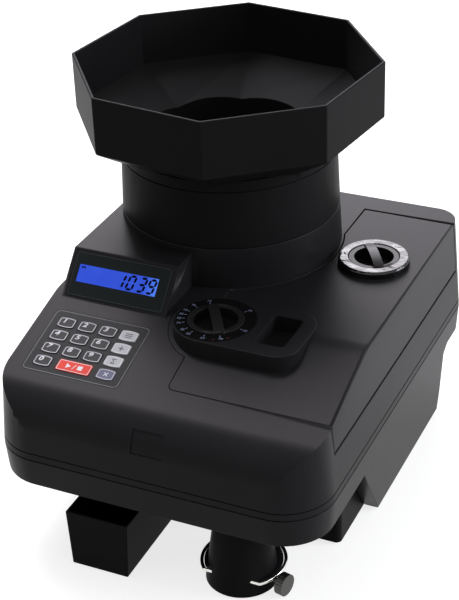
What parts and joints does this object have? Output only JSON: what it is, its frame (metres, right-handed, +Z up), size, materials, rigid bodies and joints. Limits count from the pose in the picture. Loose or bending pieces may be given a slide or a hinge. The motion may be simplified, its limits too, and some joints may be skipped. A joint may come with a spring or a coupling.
{
  "type": "coin counting machine",
  "caption": "Motor-driven coin counter with an octagonal hopper, tilted display, keypad, hinged lid with setting knobs, coin outlet tube and reject tray.",
  "frame": {"origin": "under the middle of the bounding box, on the table", "axes": "+X to the machine's right, +Y to its back, +Z up"},
  "size_m": [0.3038, 0.3832, 0.3412],
  "materials": {
    "body_plastic": "fine textured charcoal plastic",
    "hopper_plastic": "satin black plastic",
    "knob_plastic": "smooth black plastic",
    "window": "dark polished window",
    "lcd": "lit blue display",
    "circuit_board": "green circuit board",
    "panel": "printed dark film",
    "number_key": "black key",
    "red_key": "red key",
    "grey_key": "light grey key",
    "blue_key": "dark blue grey key",
    "steel": "dull steel",
    "wire": "bright plated wire",
    "alloy": "machined light alloy",
    "rubber": "black rubber"
  },
  "bodies": {
    "base": {"lower_tub": "body_plastic", "base_block": "body_plastic", "rubber_feet": "rubber", "tray_rails": "hopper_plastic", "top_housing": "body_plastic", "neck_ring": "body_plastic", "display_window": "window", "lcd_module": "lcd", "display_board": "circuit_board", "keypad_panel": "panel", "keypad_board": "circuit_board", "lid_hinge_pin": "steel", "disc_bearing": "steel", "drive_motor": "steel", "drive_belt": "rubber", "coin_rail": "alloy", "transport_belt": "rubber", "count_sensor": "knob_plastic", "stop_solenoid": "steel", "outlet_tube": "hopper_plastic", "chassis_plate": "steel", "main_board": "circuit_board", "power_supply": "steel", "power_inlet": "knob_plastic", "housing_screws": "steel"},
    "hopper": {"hopper": "hopper_plastic"},
    "lid": {"access_lid": "body_plastic", "diameter_scale": "knob_plastic", "thickness_scale": "knob_plastic"},
    "diameter_knob": {"diameter_knob": "knob_plastic"},
    "diameter_guide": {"diameter_guide": "alloy"},
    "thickness_knob": {"thickness_knob": "knob_plastic"},
    "thickness_gate": {"thickness_gate": "alloy"},
    "disc": {"coin_disc": "alloy", "disc_shaft": "steel", "disc_pulley": "alloy"},
    "motor_pulley": {"motor_pulley": "steel"},
    "drive_roller": {"transport_drive_roller": "steel"},
    "idler": {"transport_idler": "steel"},
    "stop_pin": {"stop_pin": "steel"},
    "reject_tray": {"reject_tray": "hopper_plastic"},
    "bag_ring": {"bag_ring": "wire"},
    "thumbscrew": {"thumbscrew": "steel"},
    "power_switch": {"power_switch": "knob_plastic"},
    "key_0": {"key_0": "number_key"},
    "key_1": {"key_1": "number_key"},
    "key_2": {"key_2": "number_key"},
    "key_3": {"key_3": "number_key"},
    "key_4": {"key_4": "number_key"},
    "key_5": {"key_5": "number_key"},
    "key_6": {"key_6": "number_key"},
    "key_7": {"key_7": "number_key"},
    "key_8": {"key_8": "number_key"},
    "key_9": {"key_9": "number_key"},
    "key_start_stop": {"key_start_stop": "red_key"},
    "key_function_1": {"key_function_1": "grey_key"},
    "key_function_2": {"key_function_2": "grey_key"},
    "key_function_3": {"key_function_3": "grey_key"},
    "key_function_4": {"key_function_4": "blue_key"}
  },
  "joints": [
    {"name": "hopper_lift", "type": "slide", "parent": "base", "child": "hopper", "axis": [0, 0, 1], "range_m": [0, 0.03]},
    {"name": "lid_hinge", "type": "hinge", "parent": "base", "child": "lid", "pos_m": [0.14657, 0.00442, 0.1329], "axis": [0, 1, 0], "range_deg": [0, 80]},
    {"name": "diameter_turn", "type": "hinge", "parent": "lid", "child": "diameter_knob", "pos_m": [0.02202, -0.07408, 0.167], "axis": [0, 0, 1], "range_deg": [-135, 135]},
    {"name": "guide_slide", "type": "slide", "parent": "lid", "child": "diameter_guide", "axis": [1, 0, 0], "range_m": [-0.0107, 0.0107]},
    {"name": "thickness_turn", "type": "hinge", "parent": "lid", "child": "thickness_knob", "pos_m": [0.10422, 0.06282, 0.167], "axis": [0, 0, 1], "range_deg": [-135, 135]},
    {"name": "gate_lift", "type": "slide", "parent": "lid", "child": "thickness_gate", "axis": [0, 0, 1], "range_m": [-0.00151, 0.00151]},
    {"name": "disc_spin", "type": "hinge", "parent": "base", "child": "disc", "pos_m": [-0.02678, 0.06642, 0.114], "axis": [0, 0, 1], "continuous": true},
    {"name": "motor_spin", "type": "hinge", "parent": "base", "child": "motor_pulley", "pos_m": [-0.05678, -0.04858, 0.09], "axis": [0, 0, 1], "continuous": true},
    {"name": "drive_roller_spin", "type": "hinge", "parent": "base", "child": "drive_roller", "pos_m": [0.07122, -0.10558, 0.1415], "axis": [1, 0, 0], "continuous": true},
    {"name": "idler_spin", "type": "hinge", "parent": "base", "child": "idler", "pos_m": [0.07122, 0.03142, 0.1415], "axis": [1, 0, 0], "continuous": true},
    {"name": "stop_pin_lift", "type": "slide", "parent": "base", "child": "stop_pin", "axis": [0, 0, 1], "range_m": [0, 0.004]},
    {"name": "tray_slide", "type": "slide", "parent": "base", "child": "reject_tray", "axis": [0, -1, 0], "range_m": [0, 0.06]},
    {"name": "ring_pivot", "type": "hinge", "parent": "base", "child": "bag_ring", "pos_m": [0.07472, -0.17363, 0.0147], "axis": [1, 0, 0], "range_deg": [0, 25]},
    {"name": "thumbscrew_turn", "type": "hinge", "parent": "base", "child": "thumbscrew", "pos_m": [0.07472, -0.15308, 0.0105], "axis": [0.9744, -0.225, 0], "range_deg": [-180, 180]},
    {"name": "switch_rock", "type": "hinge", "parent": "base", "child": "power_switch", "pos_m": [-0.04778, 0.17443, 0.14477], "axis": [1, 0, 0], "range_deg": [-16, 0]},
    {"name": "key_0_press", "type": "slide", "parent": "base", "child": "key_0", "axis": [0, 0.2756, -0.9613], "range_m": [0, 0.0005], "stiffness_N_per_m": 600},
    {"name": "key_1_press", "type": "slide", "parent": "base", "child": "key_1", "axis": [0, 0.2756, -0.9613], "range_m": [0, 0.0005], "stiffness_N_per_m": 600},
    {"name": "key_2_press", "type": "slide", "parent": "base", "child": "key_2", "axis": [0, 0.2756, -0.9613], "range_m": [0, 0.0005], "stiffness_N_per_m": 600},
    {"name": "key_3_press", "type": "slide", "parent": "base", "child": "key_3", "axis": [0, 0.2756, -0.9613], "range_m": [0, 0.0005], "stiffness_N_per_m": 600},
    {"name": "key_4_press", "type": "slide", "parent": "base", "child": "key_4", "axis": [0, 0.2756, -0.9613], "range_m": [0, 0.0005], "stiffness_N_per_m": 600},
    {"name": "key_5_press", "type": "slide", "parent": "base", "child": "key_5", "axis": [0, 0.2756, -0.9613], "range_m": [0, 0.0005], "stiffness_N_per_m": 600},
    {"name": "key_6_press", "type": "slide", "parent": "base", "child": "key_6", "axis": [0, 0.2756, -0.9613], "range_m": [0, 0.0005], "stiffness_N_per_m": 600},
    {"name": "key_7_press", "type": "slide", "parent": "base", "child": "key_7", "axis": [0, 0.2756, -0.9613], "range_m": [0, 0.0005], "stiffness_N_per_m": 600},
    {"name": "key_8_press", "type": "slide", "parent": "base", "child": "key_8", "axis": [0, 0.2756, -0.9613], "range_m": [0, 0.0005], "stiffness_N_per_m": 600},
    {"name": "key_9_press", "type": "slide", "parent": "base", "child": "key_9", "axis": [0, 0.2756, -0.9613], "range_m": [0, 0.0005], "stiffness_N_per_m": 600},
    {"name": "key_start_stop_press", "type": "slide", "parent": "base", "child": "key_start_stop", "axis": [0, 0.2756, -0.9613], "range_m": [0, 0.0005], "stiffness_N_per_m": 600},
    {"name": "key_function_1_press", "type": "slide", "parent": "base", "child": "key_function_1", "axis": [0, 0.2756, -0.9613], "range_m": [0, 0.0005], "stiffness_N_per_m": 600},
    {"name": "key_function_2_press", "type": "slide", "parent": "base", "child": "key_function_2", "axis": [0, 0.2756, -0.9613], "range_m": [0, 0.0005], "stiffness_N_per_m": 600},
    {"name": "key_function_3_press", "type": "slide", "parent": "base", "child": "key_function_3", "axis": [0, 0.2756, -0.9613], "range_m": [0, 0.0005], "stiffness_N_per_m": 600},
    {"name": "key_function_4_press", "type": "slide", "parent": "base", "child": "key_function_4", "axis": [0, 0.2756, -0.9613], "range_m": [0, 0.0005], "stiffness_N_per_m": 600}
  ],
  "couplings": [
    {"joint": "guide_slide", "follows": "diameter_turn", "m_per_rad": -0.0045},
    {"joint": "gate_lift", "follows": "thickness_turn", "m_per_rad": 0.000637},
    {"joint": "motor_spin", "follows": "disc_spin", "ratio": 3.2143},
    {"joint": "drive_roller_spin", "follows": "disc_spin", "ratio": 10.75},
    {"joint": "idler_spin", "follows": "disc_spin", "ratio": 10.75}
  ]
}
